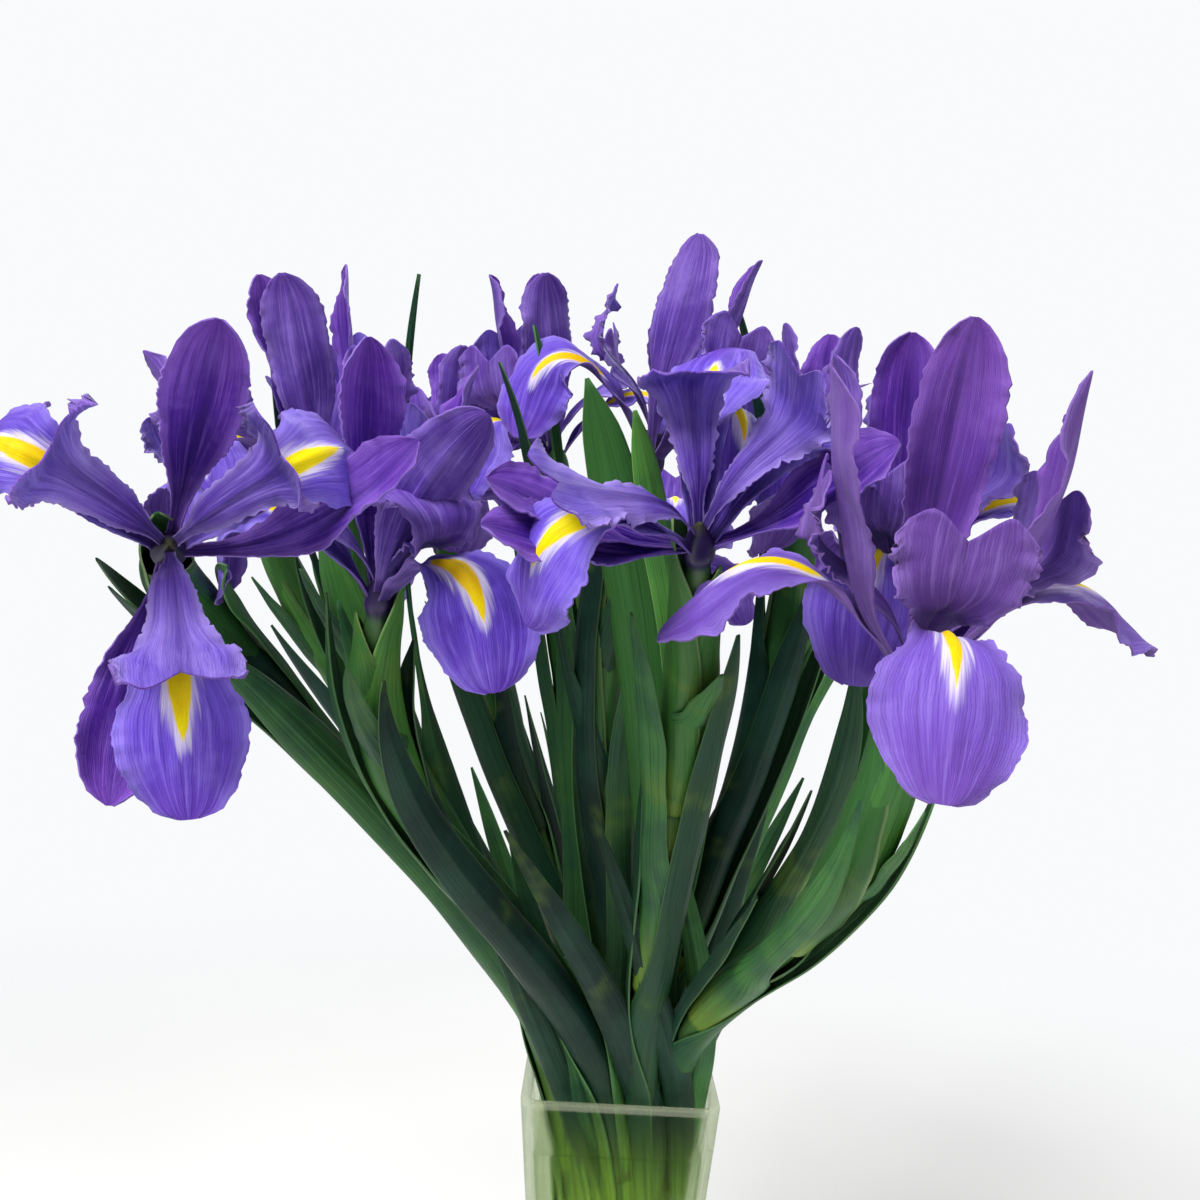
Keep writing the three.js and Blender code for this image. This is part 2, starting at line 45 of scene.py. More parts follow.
def smooth(keys):
    # a smooth curve through (place, value) keys
    def slope(i):
        before, after = keys[max(i - 1, 0)], keys[min(i + 1, len(keys) - 1)]
        return (after[1] - before[1]) / (after[0] - before[0])

    slopes = [slope(i) for i in range(len(keys))]

    def value(t):
        place = min(max(t, keys[0][0]), keys[-1][0])
        i = next((k for k in range(1, len(keys)) if keys[k][0] >= place), len(keys) - 1)
        (t0, v0), (t1, v1) = keys[i - 1], keys[i]
        span = t1 - t0
        q = (place - t0) / span
        blend = q * q * (3 - 2 * q)
        return (v0 + (v1 - v0) * blend + q * (1 - q) ** 2 * slopes[i - 1] * span
                + q * q * (q - 1) * slopes[i] * span)

    return value


def step(start, end, t):
    q = min(max((t - start) / (end - start), 0), 1)
    return q * q * (3 - 2 * q)


def wobble(x, y, seed):
    # soft noise from about -1 to 1, cut at another depth for each seed
    return 1.6 * noise.noise(Vector((x, y, seed * 7.31)))


def linear(hexColour):
    channels = [int(hexColour[i:i + 2], 16) / 255 for i in (1, 3, 5)]
    return (*(c / 12.92 if c <= 0.04045 else ((c + 0.055) / 1.055) ** 2.4 for c in channels), 1)


def addNode(tree, kind, settings=None, sockets=()):
    # sockets get values or links by name or number, or in a plain row from the first one on
    node = tree.nodes.new("ShaderNode" + kind)
    for name, value in (settings or {}).items():
        if name == "stops":  # of a colour ramp
            elements = node.color_ramp.elements
            while len(elements) < len(value):
                elements.new(0.5)
            for element, (position, colour) in zip(elements, value):
                element.position = position
                element.color = linear(colour)
        else:
            setattr(node, name, value)
    for name, value in sockets.items() if isinstance(sockets, dict) else enumerate(sockets):
        socket = node.inputs[name]
        if isinstance(value, bpy.types.NodeSocket):
            tree.links.new(value, socket)
        else:
            socket.default_value = value
    return node


# settings that many nodes share; a MapRange takes its value, the range that counts and what that becomes
times, timesPlus, larger = ({"operation": kind} for kind in ("MULTIPLY", "MULTIPLY_ADD", "MAXIMUM"))
smoothly = {"interpolation_type": "SMOOTHSTEP"}
ofColour = {"data_type": "RGBA"}


def newMaterial(name, finish):
    # finish holds what is the same all over the piece
    material = bpy.data.materials.new(name)
    material.use_nodes = True
    tree = material.node_tree
    tree.nodes.clear()
    skin = addNode(tree, "BsdfPrincipled", sockets=finish)
    addNode(tree, "OutputMaterial", sockets={"Surface": skin.outputs[0]})
    return material, tree, skin


def readPoint(tree):
    # place: the distance across in mm, the share along and the share across; tone: age, shade and kind on a
    # petal, or shade, clasping share and kind on a leaf; and where the point is
    at, own = (addNode(tree, "SeparateXYZ", sockets=[
        addNode(tree, "Attribute", {"attribute_name": layer}).outputs["Vector"]]).outputs
        for layer in ("place", "tone"))
    return at, own, addNode(tree, "TexCoord").outputs["Object"]


def painted(tree, under, coats):
    # coats of colour: a pattern, the range of it that counts, the cover at both ends of that, and the colour
    for pattern, low, high, start, end, colour in coats:
        cover = addNode(tree, "MapRange", smoothly, (pattern, low, high, start, end)).outputs[0]
        under = addNode(tree, "Mix", ofColour, {0: cover, 6: under, 7: linear(colour)}).outputs[2]
    return under


def newPiece(name, build, looks, replaced):
    # build(bm) fills the mesh; looks are its materials
    mesh = bpy.data.meshes.new(name)
    bm = bmesh.new()
    bm.loops.layers.uv.new("skin")
    for layer in ("place", "tone"):
        bm.verts.layers.float_vector.new(layer)
    build(bm)
    bm.to_mesh(mesh)
    bm.free()
    for look in looks:
        mesh.materials.append(look)
    piece = bpy.data.objects.new(name, mesh)
    bpy.context.collection.objects.link(piece)
    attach(piece, "root")
    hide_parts(replaced)
    return piece


def addSheet(bm, surface, columns, rows, thickness, front, back, tone, cleft=None):
    # A closed thin sheet. surface(t, v, side) gives a point in mm and the distance across, where t runs
    # 0 to 1 along it and v from -1 to 1 across it. A cleft parts it down the middle from there to its tip.
    place, toneLayer = (bm.verts.layers.float_vector[name] for name in ("place", "tone"))
    made = bmesh.ops.create_grid(bm, x_segments=columns, y_segments=rows, size=1, calc_uvs=True)
    faces = list({face for vert in made["verts"] for face in vert.link_faces})
    if cleft is not None:  # the grid runs from -1 to 1 both ways
        inGrid = {edge for face in faces for edge in face.edges}
        seam = [edge for edge in inGrid
                if all(abs(vert.co.x) < 1e-6 and vert.co.y > 2 * cleft - 1.001 for vert in edge.verts)]
        bmesh.ops.split_edges(bm, edges=seam)
    placed = []
    for vert in {vert for face in faces for vert in face.verts}:
        sides = [1 if face.calc_center_median().x > 0 else -1 for face in vert.link_faces]
        t, v = (vert.co.y + 1) / 2, -vert.co.x
        point, across = surface(t, v, -sum(sides) / len(sides))
        placed.append((vert, point, (across, t, v)))
    for vert, point, where in placed:
        vert.co = point * mm
        vert[place] = where
        vert[toneLayer] = tone
    for face in faces:
        face.normal_update()
        face.material_index, face.smooth = front, True
    kept, before = set(faces), set(bm.faces)
    bmesh.ops.solidify(bm, geom=faces, thickness=thickness * mm)
    for face in set(bm.faces) - before:  # the back and the narrow edge, which stays crisp
        face.material_index, face.smooth = back, True
        for edge in face.edges:
            if any(other in kept for other in edge.link_faces):
                edge.smooth = False


def addTube(bm, ring, sides, rows, look, tone):
    # a closed round solid; ring(t, angle) gives a point in mm
    place, toneLayer = (bm.verts.layers.float_vector[name] for name in ("place", "tone"))
    made = bmesh.ops.create_grid(bm, x_segments=sides, y_segments=rows, size=1, calc_uvs=True)
    verts = made["verts"]
    faces = list({face for vert in verts for face in vert.link_faces})
    for vert in verts:
        t, turn = (vert.co.y + 1) / 2, (vert.co.x + 1) / 2
        vert.co = ring(t, 2 * math.pi * (turn % 1)) * mm
        vert[place] = (0, t, 2 * turn - 1)
        vert[toneLayer] = tone
    bmesh.ops.remove_doubles(bm, verts=verts, dist=1e-7)
    ends = [edge for edge in {edge for face in faces for edge in face.edges} if edge.is_boundary]
    caps = bmesh.ops.holes_fill(bm, edges=ends, sides=sides)["faces"]
    for face in faces + caps:
        face.material_index, face.smooth = look, face not in caps
    bmesh.ops.recalc_face_normals(bm, faces=faces + caps)


# level, 53 degrees wide, and turned a little so that the bunch leans clockwise as in the photograph
cameraPlan = {"at": (-15.5, -434, 368.7), "lens": 36, "sensor": 36, "turn": 2.9}
cameraData = bpy.data.cameras.new("camera")
cameraData.lens, cameraData.sensor_width = cameraPlan["lens"], cameraPlan["sensor"]
cameraData.clip_start = 0.01
camera = bpy.data.objects.new("camera", cameraData)
camera.matrix_world = (Matrix.Translation(Vector(cameraPlan["at"]) * mm)
                       @ Matrix.Rotation(math.pi / 2, 4, "X")
                       @ Matrix.Rotation(math.radians(cameraPlan["turn"]), 4, "Z"))
bpy.context.collection.objects.link(camera)
bpy.context.scene.camera = camera
print("camera set")


# the vase, and the stems that cross inside it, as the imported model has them
vase = {
    "height": 200, "halfWidth": smooth([(0, 24), (0.3, 24.9), (0.65, 28), (1, 34)]),
    "wall": 3.5, "floor": 12, "corner": 7, "waterLevel": 180,
}
stemPlan = {
    "foot": 0.4, "footRadius": 3.4, "waistRadius": 3.5,
    "above": smooth([(0, 4.4), (0.3, 4.9), (0.7, 3.9), (1, 2.7)]),
    "waistHeight": 112, "waistTurn": 40, "footTurn": 78, "neck": 16.35,
    "outer": (24, 16, 16), "inner": (12, 8.4, 8.3),  # ring radii at the rim, the waist and the foot
    "sides": 16, "rows": 120,
}

# name: where the petals meet, the way it faces, turn, size, ring, angle in the ring, age, then
# [shift, hang, sway, twist, twist of its style arm, droop of that arm's crest] of each fall and
# [shift, opening, sway, twist, share of the full length, curl] of each standard
irises = {
    "left_front": ((-113, -164, 375), (0.33, -0.92, 0.17), 53, 0.88, "outer", 229, 0.1,
                   ((0, 0), (0, 8), (3, -50, 0, 0, 0, 40)),
                   ((-14, 38, 0, 0, 0.9), (43, 80, 9, 0, 0.92), (26, 60, 48, -25))),
    "left_high": ((-100, -62, 396), (-0.12, -0.3, 0.95), -35, 0.98, "outer", 200, 0.1,
                  ((0, 14), (0, 14), (0, 20)), ((0, 0), (0, 4), (0, 2))),
    "left_back": ((-141, 0, 396), (-0.42, -0.1, 0.9), -90, 0.92, "outer", 168, 0.2,
                  ((0, 6), (0, 6), (0, 6)), ((0, 2), (0, 4), (0, 2))),
    "mid_left": ((-74, -116, 366), (0.1, -0.42, 0.9), -46, 0.95, "outer", 258, 0.0,
                 ((0, 4, 0, 30, 0, -70), (0, 12), (-10, 30)), ((0, 6), (0, 0), (26, 8, 38, -10))),
    "mid_back": ((-72, 2, 402), (-0.12, -0.1, 0.98), -120, 0.8, "inner", 140, 0.0,
                 ((0, 10), (0, 10), (0, 10)), ((0, 14), (0, 4, 20), (0, 10))),
    "top_left": ((-34, -40, 412), (-0.14, -0.34, 0.93), 236, 0.88, "inner", 210, 0.1,
                 ((0, -4), (0, 10), (0, 10)), ((0, 0), (0, 6, 20), (0, 0))),
    "centre_front": ((7, -152, 382), (-0.06, -0.72, 0.69), 86, 0.9, "outer", 287, 0.0,
                     ((8, -46, -25, 0, 0, -45), (0, 14, 0, 0, 0, 60), (66, 10)),
                     ((36, 58, 0, 0, 0.82), (-70, 62, 0, 0, 0.84), (-22, 50, 0, 0, 0.8))),
    "top_centre": ((-3, -92, 409), (0.25, -0.14, 0.95), 60, 0.88, "inner", 280, 0.15,
                   ((0, 16), (4, 28, 0, -52), (0, 16)), ((0, 0), (0, 0), (0, 0))),
    "right_back": ((52, -26, 405), (0.05, -0.1, 0.98), 10, 0.84, "inner", 350, 0.1,
                   ((0, 16), (0, 16), (0, 16)), ((0, 2), (0, 2), (0, 2))),
    "right_high": ((62, -114, 375), (-0.1, -0.42, 0.9), -112, 0.94, "outer", 346, 0.35,
                   ((0, 2), (0, 10), (0, 10)), ((0, 6), (0, 0), (0, 4))),
    "right_front": ((54, -168, 354), (0.06, -0.36, 0.93), -96, 0.96, "outer", 316, 0.85,
                    ((0, -6), (-4, -26), (30, -10)),
                    ((22, 14, 0, -6, 1.12, 24), (0, 0, 0, 0, 1.16), (-10, 18, 0, -14, 1.1, 8))),
    "back_left": ((-84, 78, 388), (-0.4, 0.4, 0.84), 15, 0.92, "outer", 124, 0.2,
                  ((0, 10), (0, 10), (0, 10)), ((0, 3), (0, 3), (0, 3))),
    "back_right": ((84, 52, 385), (0.4, 0.25, 0.88), -20, 0.92, "outer", 20, 0.5,
                   ((0, 12), (0, 12), (0, 12)), ((0, 3), (0, 3), (0, 3))),
    "back_middle": ((14, 122, 378), (0.05, 0.5, 0.84), 30, 0.95, "outer", 72, 0.0,
                    ((0, 10), (0, 10), (0, 10)), ((0, 4), (0, 4), (0, 4))),
}


def bunchPoint(ring, angle, level, turn, height):
    reach, around = stemPlan[ring][level], math.radians(angle + turn)
    return Vector((reach * math.cos(around), reach * math.sin(around), height))


def stemPath(iris):
    # a smooth path through foot, waist, rim and top: at(s) gives the point and direction s mm along it
    top, faces, _, _, ring, angle = iris[:6]
    faces = Vector(faces).normalized()
    points = [
        bunchPoint(ring, angle, 2, stemPlan["footTurn"], vase["floor"] + stemPlan["foot"]),
        bunchPoint(ring, angle, 1, stemPlan["waistTurn"], stemPlan["waistHeight"]),
        bunchPoint(ring, angle, 0, 0, vase["height"]),
        Vector(top) - faces * stemPlan["neck"],
    ]
    legs = [b - a for a, b in zip(points, points[1:])]
    aims = [up, (legs[0].normalized() + legs[1].normalized()).normalized(),
            (legs[1].normalized() + legs[2].normalized()).normalized(), faces]
    line, marks = [points[0]], [0.0]
    parts = 80  # of each leg
    for i, leg in enumerate(legs):
        pull = leg.length / 3
        a, d = points[i], points[i + 1]
        b, c = a + aims[i] * pull, d - aims[i + 1] * pull
        for k in range(1, parts + 1):
            q = k / parts
            line.append(a * (1 - q) ** 3 + b * 3 * q * (1 - q) ** 2 + c * 3 * q * q * (1 - q) + d * q ** 3)
            marks.append(marks[-1] + (line[-1] - line[-2]).length)
    length = marks[-1]

    def at(s):
        kept = min(max(s, 0), length - 1e-6)
        low, high = 0, len(marks) - 1
        while high - low > 1:
            middle = (low + high) // 2
            low, high = (middle, high) if marks[middle] <= kept else (low, middle)
        q = (kept - marks[low]) / (marks[high] - marks[low])
        before = (line[low] - line[low - 1] if low else up).normalized()
        here = (line[high] - line[low]).normalized()
        after = (line[high + 1] - line[high]).normalized() if high + 1 < len(line) else here
        direction = ((before + here) * (1 - q) + (here + after) * q).normalized()
        return line[low].lerp(line[high], q) + direction * (s - kept), direction

    return {"length": length, "waist": marks[parts], "rim": marks[2 * parts], "at": at}


# the three kinds of petal: sizes in mm, and angle, half-width and cup along each from its root to its tip
fall = {
    "length": 78, "root": (1.2, -2),
    "angle": smooth([(0, 60), (0.2, 46), (0.42, 30), (0.55, 0), (0.68, -42), (0.85, -62), (1, -66)]),
    "width": smooth([(0, 2), (0.12, 2.8), (0.28, 5.4), (0.46, 6.8), (0.56, 10), (0.68, 14.8), (0.78, 15.4),
                     (0.88, 12.8), (0.95, 9.4), (0.985, 6.4), (1, 2.6)]),
    "cup": smooth([(0, 0.3), (0.42, 0.25), (0.56, -0.1), (0.75, -0.3), (1, -0.2)]),
    "wave": (3.5, 1.6), "crimp": (18, 1.0), "teeth": 0.5, "notch": 0, "ridge": 1.1,
    "columns": 30, "rows": 72,
}
standard = {
    "length": 71, "root": (1, 1),
    "angle": smooth([(0, 62), (0.22, 73), (0.5, 84), (0.8, 86), (1, 80)]),
    "width": smooth([(0, 1.6), (0.16, 1.9), (0.3, 4.2), (0.48, 8), (0.66, 9.8), (0.82, 9.2), (0.92, 6.9),
                     (0.975, 3.8), (1, 0.9)]),
    "cup": smooth([(0, 0.3), (0.5, 0.34), (1, 0.25)]),
    "wave": (2.5, 1.3), "crimp": (14, 0.9), "teeth": 0.5, "notch": 0, "ridge": -1.0,
    "columns": 22, "rows": 64,
}
style = {
    "length": 56, "root": (0.8, 5),
    "angle": smooth([(0, 64), (0.2, 54), (0.5, 28), (0.62, 40), (0.74, 84), (1, 100)]),
    "width": smooth([(0, 1.3), (0.14, 1.7), (0.3, 4.6), (0.54, 6.9), (0.62, 8.8), (0.72, 13), (0.88, 14.4),
                     (1, 13)]),
    "cup": smooth([(0, -0.1), (0.5, -0.3), (0.68, -0.14), (0.8, 0), (1, 0.06)]),
    "wave": (2, 1.4), "crimp": (16, 2.1), "teeth": 1.0, "notch": 0.06, "ridge": 0.7,
    "columns": 28, "rows": 56, "cleft": 0.88, "gap": 0.7, "lobe": 0.12,
}
petalThickness = 0.4
# half-width of the fall's yellow signal along it; less than 0 is how far off it is
signalWidth = smooth([(0, -3), (0.36, -2), (0.44, 1.6), (0.56, 2.5), (0.66, 1.9), (0.77, 0), (0.84, -3),
                      (1, -8)])


def petalSurface(shape, azimuth, size, angleShift, phase, seed, sway, twist, reach):
    # sway bends a petal sideways by that many degrees at its tip, twist turns its face, and reach is the
    # share of the full length that it has
    samples = 90
    line = [Vector((shape["root"][0], 0, shape["root"][1]))]
    stride = shape["length"] * size * reach / samples

    def angles(t):
        return math.radians(shape["angle"](t) + angleShift(t)), math.radians(sway * t)

    for i in range(samples):
        a, b = angles((i + 0.5) / samples)
        ahead = Vector((math.cos(b) * math.cos(a), math.sin(b), math.cos(b) * math.sin(a)))
        line.append(line[-1] + ahead * stride)
    around = Matrix.Rotation(math.radians(azimuth), 3, "Z")
    waves, waveDepth = shape["wave"]
    crimps, crimpDepth = shape["crimp"]
    cleft = shape.get("cleft")

    def surface(t, v, side):
        place = t * (1 - shape["notch"] * math.exp(-(v / 0.4) ** 2))
        edge = abs(v)
        if cleft:  # two round lobes at the tip
            place -= shape["lobe"] * step(0.55, 1, t) * ((edge - 0.5) / 0.5) ** 2 * (1 if edge > 0.5 else 0.4)
        place += 0.006 * edge ** 2 * wobble(v * 9, t * 22, seed + 3) * step(0.3, 0.8, t)
        place = min(max(place, 0), 1)
        index = min(int(place * samples), samples - 1)
        q = place * samples - index
        a, b = angles(place)
        half = shape["width"](place) * size
        broad = min(1, half / 8)  # the narrow claw stays plain
        # out of the flat by its cup and waves, a soft buckle, crimps near the edge, and the midrib
        ripple = waveDepth * math.sin(2 * math.pi * waves * place + phase + 1.5 * v)
        lift = shape["cup"](place) * half * v * v + ripple * edge ** 3 * broad
        buckle = 1.1 * wobble(place * 4.2, v * 1.6, seed)
        lift += buckle * (0.3 + 0.7 * edge) * broad * step(0.25, 0.5, place)
        crimp = wobble(place * crimps, v, seed + 1) + 0.6 * wobble(place * 2.7 * crimps, v, seed + 4)
        lift += crimpDepth * edge ** 5 * broad * step(0.3, 0.6, place) * crimp
        midrib = shape["ridge"] * math.exp(-(v / 0.13) ** 2)
        lift += midrib * step(0.1, 0.3, place) * (1 - step(0.7, 0.98, place))
        # and across by its width, small teeth and the gap of the cleft
        across = half * v * (1 + 0.012 * wobble(place * 60, v * 2, seed + 2))
        across += math.copysign(shape["teeth"], v) * edge ** 14 * wobble(place * 42, 0, seed + 2) * broad
        if cleft and place > cleft:
            across += side * shape["gap"] * ((place - cleft) / (1 - cleft)) * math.exp(-(v / 0.5) ** 2)
        turned = math.radians(twist) * step(0.15, 0.9, place)
        out = across * math.sin(turned) + lift * math.cos(turned)
        aside = across * math.cos(turned) - lift * math.sin(turned)
        wide = Vector((-math.sin(b) * math.cos(a), math.cos(b), -math.sin(b) * math.sin(a)))
        normal = Vector((-math.sin(a), 0, math.cos(a)))
        return around @ (line[index].lerp(line[index + 1], q) + wide * aside + normal * out), across

    return surface


neckPlan = {"length": 16, "column": 8, "sides": 18, "rows": 16}
neckRadius = smooth([(0, 2.7), (0.25, 3.5), (0.5, 3.1), (0.6, 4.1), (0.8, 3.2), (0.92, 1.9), (1, 0.6)])


def makeBloom(name, iris, number, looks):
    # looks: 0 falls, 1 standards, 2 style arms, 3 the backs of them all, 4 the flower tube
    at, faces, turn, size, _, _, age, falls, standards = iris
    frameTurn = up.rotation_difference(Vector(faces).normalized()).to_matrix().to_4x4()
    stand = Matrix.Translation(Vector(at) * mm) @ frameTurn

    def build(bm):
        for k in range(3):
            azimuth = turn + 120 * k
            shift, hang, fallSway, fallTwist, armTwist, droop = falls[k] + (0,) * (6 - len(falls[k]))
            opened, opening, sway, twist, share, curl = standards[k] + (0, 0, 0, 0, 1, 0)[len(standards[k]):]
            seed = 20 * number + 5 * k
            petals = (  # shape, azimuth, what its angles gain along it, phase, sway, twist and reach
                (fall, azimuth + shift, lambda t, h=hang: -h * step(0.5, 0.8, t),
                 2 * k, fallSway, fallTwist, 1),
                (standard, azimuth + 60 + opened,
                 lambda t, o=opening, c=curl: -o * (1 - 0.15 * t) + c * t * t, 1 + 2 * k, sway, twist, share),
                (style, azimuth + shift, lambda t, d=droop: -d * step(0.55, 0.8, t),
                 3 + k, 0, armTwist, 1),
            )
            for kind, (shape, around, gain, phase, bend, turned, reach) in enumerate(petals):
                surface = petalSurface(shape, around, size, gain, phase, seed + kind, bend, turned, reach)
                shade = 0.5 + 0.5 * wobble(seed * 0.37, kind, 5)
                addSheet(bm, surface, shape["columns"], shape["rows"], petalThickness, kind, 3,
                         (age, shade, kind), cleft=shape.get("cleft"))

        def neck(t, around):
            radius = neckRadius(t)
            height = -neckPlan["length"] + t * (neckPlan["length"] + neckPlan["column"])
            lobes = 1 + 0.12 * math.cos(3 * (around - math.radians(turn))) * (1 - step(0.3, 0.6, t))
            return Vector((radius * lobes * math.cos(around), radius * lobes * math.sin(around), height))

        addTube(bm, neck, neckPlan["sides"], neckPlan["rows"], 4, (age, 0.5, 3))
        bmesh.ops.transform(bm, matrix=stand, verts=bm.verts)

    return newPiece("iris_" + name, build, looks, "bloom_" + name)


# petals are thin, soft tissue with veins from the root to the edge; light goes a little way in, and the
# gloss is faint
petalFinish = {
    "IOR": 1.4, "Specular IOR Level": 0.22, "Sheen Weight": 0.06, "Sheen Roughness": 0.4,
    "Subsurface Weight": 0.2, "Subsurface Radius": (0.9, 0.35, 1.1), "Subsurface Scale": 0.0012,
}


def petalSkin(name, base, deep, pale, edge, signal=False, stripe=0.0, roughness=0.5):
    material, tree, skin = newMaterial(name, {**petalFinish, "Roughness": roughness})
    at, own, body = readPoint(tree)
    grid = addNode(tree, "CombineXYZ", sockets=(at[2], at[1], own[1])).outputs[0]

    # long streaks in the tissue, and what makes the veins waver
    stretched = addNode(tree, "VectorMath", times, (grid, (13.0, 3.0, 9.0))).outputs[0]
    streaks = addNode(tree, "TexNoise", sockets={
        "Vector": stretched, "Scale": 1.0, "Detail": 3.0, "Roughness": 0.6, "Distortion": 0.25}).outputs[0]
    stretched = addNode(tree, "VectorMath", times, (grid, (2.5, 7.0, 5.0))).outputs[0]
    waver = addNode(tree, "TexNoise", sockets={
        "Vector": stretched, "Scale": 1.0, "Detail": 2.0}).outputs[0]
    # 23 veins from the middle to the edge, so about 0.65 mm apart where a fall is widest
    wavered = addNode(tree, "Math", times, (waver, 4.2)).outputs[0]
    counted = addNode(tree, "Math", timesPlus, (at[2], 23.0, wavered)).outputs[0]
    comb = addNode(tree, "Math", {"operation": "PINGPONG"}, (counted, 0.5)).outputs[0]
    veins = addNode(tree, "Math", times, [
        addNode(tree, "MapRange", smoothly, mask).outputs[0]
        for mask in ((comb, 0.02, 0.2, 1.0, 0.0), (streaks, 0.3, 0.6, 0.25, 1.0))]).outputs[0]
    clouds = addNode(tree, "TexNoise", sockets={  # patches about 20 mm across
        "Vector": body, "Scale": 52.0, "Detail": 4.0, "Roughness": 0.6, "Distortion": 0.3}).outputs[0]
    sideways = addNode(tree, "Math", {"operation": "ABSOLUTE"}, (at[2],)).outputs[0]

    run = addNode(tree, "ValToRGB", {"stops": base}, (at[1],)).outputs[0]  # from the root to the tip
    coloured = painted(tree, run, (
        (own[1], 0.35, 1.0, 0.0, 0.45, deep),  # no two petals alike
        # the pale patches are partly painted highlight, standing in for light where a petal bends towards the
        # lamps, and partly tone that differs at random
        (clouds, 0.46, 0.72, 0.0, 0.6, pale),
        (clouds, 0.48, 0.3, 0.0, 0.5, deep),
        (streaks, 0.48, 0.7, 0.0, 0.42, deep),
        (streaks, 0.5, 0.3, 0.0, 0.5, pale),
        (sideways, 0.66, 1.02, 0.0, 0.62, edge),
        (sideways, 0.04, 0.5, stripe, 0.0, deep),  # a dark band down the middle
    ))
    # the veins, and the pinker colour of an older flower
    for pattern, share, colour in ((veins, 0.34, deep), (own[0], 0.42, "#80589a")):
        cover = addNode(tree, "Math", times, (pattern, share)).outputs[0]
        coloured = addNode(tree, "Mix", ofColour, {0: cover, 6: coloured, 7: linear(colour)}).outputs[2]
    if signal:
        field = addNode(tree, "Attribute", {"attribute_name": "signal"}).outputs["Fac"]
        faded = addNode(tree, "Math", timesPlus, (own[0], -1.3, field)).outputs[0]  # it shrinks with age
        frayed = addNode(tree, "Math", timesPlus, (streaks, 6.0, faded)).outputs[0]
        coloured = painted(tree, coloured, ((frayed, 0.4, 3.2, 0.0, 0.9, "#e6def6"),))  # its pale rim
        golds = ((0.3, "#f0bc00"), (0.55, "#fbe200"))
        gold = addNode(tree, "ValToRGB", {"stops": golds}, (clouds,)).outputs[0]
        rayed = addNode(tree, "Math", timesPlus, (streaks, 1.2, faded)).outputs[0]
        yellow = addNode(tree, "MapRange", smoothly, (rayed, 0.3, 0.9)).outputs[0]
        coloured = addNode(tree, "Mix", ofColour, {0: yellow, 6: coloured, 7: gold}).outputs[2]
    tree.links.new(coloured, skin.inputs["Base Color"])
    # cells of the tissue, drawn 0.4 mm across so that they show, streaks, and veins that lie a little low
    cells = addNode(tree, "TexNoise", sockets={"Vector": body, "Scale": 2600.0, "Detail": 1.0}).outputs[0]
    grain = addNode(tree, "Math", timesPlus, (cells, 0.2, streaks)).outputs[0]
    height = addNode(tree, "Math", timesPlus, (veins, -0.35, grain)).outputs[0]
    bump = addNode(tree, "Bump", sockets={"Height": height, "Strength": 0.6, "Distance": 0.0004})
    tree.links.new(bump.outputs[0], skin.inputs["Normal"])
    return material


petalLooks = [
    # a fall is blue-violet and velvety, with fine dark veins, a pale edge and its yellow signal
    petalSkin("fallBlade", ((0, "#1c0c3c"), (0.16, "#3a1b78"), (0.4, "#5c3ab4"), (0.6, "#7056d2"),
                            (0.8, "#6a4aca"), (1, "#663eb4")), "#331684", "#957fe2", "#9280dc", signal=True),
    # a standard is deeper and redder, nearly black at its claw, with a dark midrib
    petalSkin("standardPetal", ((0, "#160730"), (0.14, "#280a5e"), (0.35, "#3d0f86"), (0.65, "#5a26a8"),
                                (1, "#7b46b8")), "#2a0872", "#9066cc", "#946ccc", stripe=0.35),
    # a style arm is lilac, with a broad dark midrib and pale crests
    petalSkin("styleArm", ((0, "#1c0c3c"), (0.14, "#3c1c7c"), (0.34, "#6846b4"), (0.58, "#8068cc"),
                           (0.8, "#6850be"), (1, "#7860c6")), "#2f1474", "#a08ade", "#a694d8", stripe=0.5),
    # the backs are duller and more matt
    petalSkin("petalBack", ((0, "#2c1c4c"), (0.2, "#4c2f84"), (0.6, "#6040a4"), (1, "#6a46a8")),
              "#3c2080", "#947ad0", "#8e74c2", roughness=0.6),
]

# the flower tube is a waxy green ovary with a soft gloss, which darkens to violet where the petals meet
tubeSkin, tree, skin = newMaterial("flowerTube", {"Roughness": 0.42})
at = readPoint(tree)[0]
tint = addNode(tree, "ValToRGB", {"stops": ((0, "#4c7438"), (0.42, "#3c5f34"), (0.56, "#2c1850"),
                                            (0.9, "#1d0f38"), (1, "#35361a"))}, (at[1],))
tree.links.new(tint.outputs[0], skin.inputs["Base Color"])
petalLooks.append(tubeSkin)

paths = {name: stemPath(iris) for name, iris in irises.items()}
for number, (name, iris) in enumerate(irises.items()):
    bloom = makeBloom(name, iris, number, petalLooks)
    # how far inside the yellow signal each point of a fall lies, in mm
    signal = bloom.data.attributes.new("signal", "FLOAT", "POINT")
    place = bloom.data.attributes["place"].data
    tone = bloom.data.attributes["tone"].data
    signal.data.foreach_set("value", [
        signalWidth(p.vector[1]) - abs(p.vector[0]) if round(k.vector[2]) == 0 else -9.0
        for p, k in zip(place, tone)])
print("blooms made:", len(irises))


# leaves and spathes, in mm from each stem's rim or top
leafPlan = {
    "firstAboveRim": 8,
    # start and end as shares of the way from the rim to the top, heading from the outward side, half-width,
    # and by how much the clasping part is longer
    "each": ((-0.2, 0.95, 50, 7.4, 26), (0.2, 1.02, -60, 6.8, 0), (0.4, 0.98, 175, 6.2, 0),
             (-0.3, 0.7, 215, 7.6, 20), (0.58, 1.0, 20, 5.4, 0)),
    "slim": {"right_front": 0.66, "right_high": 0.74},  # stems whose leaves are narrower
    "clasp": 31, "sheath": 5.2, "columns": 16, "rows": 60, "thickness": 0.5,
}
spathePlan = {"below": 80, "columns": 20, "rows": 50}
